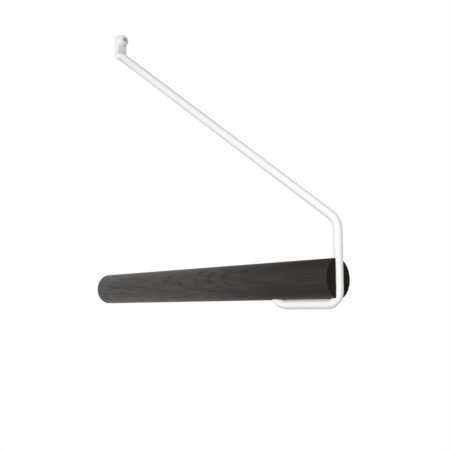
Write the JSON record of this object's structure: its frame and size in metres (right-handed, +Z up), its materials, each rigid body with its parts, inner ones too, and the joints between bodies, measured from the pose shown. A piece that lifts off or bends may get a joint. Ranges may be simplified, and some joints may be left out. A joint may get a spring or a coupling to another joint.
{
  "type": "wall clothes rail",
  "caption": "Short round wooden hanging bar standing out from a wall, held up at its free end by a bent steel stay that is screwed to the wall above it.",
  "frame": {"origin": "where the bar's centre line meets the face of the wall", "axes": "+Y into the wall, so the bar points along -Y; +Z up; +X to the right of someone facing the wall"},
  "size_m": [0.028, 0.3252, 0.2883],
  "materials": {
    "stained_wood": "turned beech, stained near black, dull satin, grain just showing",
    "white_coating": "white powder coating on steel, smooth satin",
    "grey_nylon": "moulded grey nylon",
    "brass": "turned brass, unpolished",
    "zinc_plated_steel": "bright zinc plating"
  },
  "bodies": {
    "root": {"rail_bar": "stained_wood", "stay": "white_coating", "eye_screw": "white_coating", "eye_wall_plug": "grey_nylon", "bar_insert": "brass", "hanger_bolt": "zinc_plated_steel", "bar_wall_plug": "grey_nylon"}
  },
  "joints": []
}
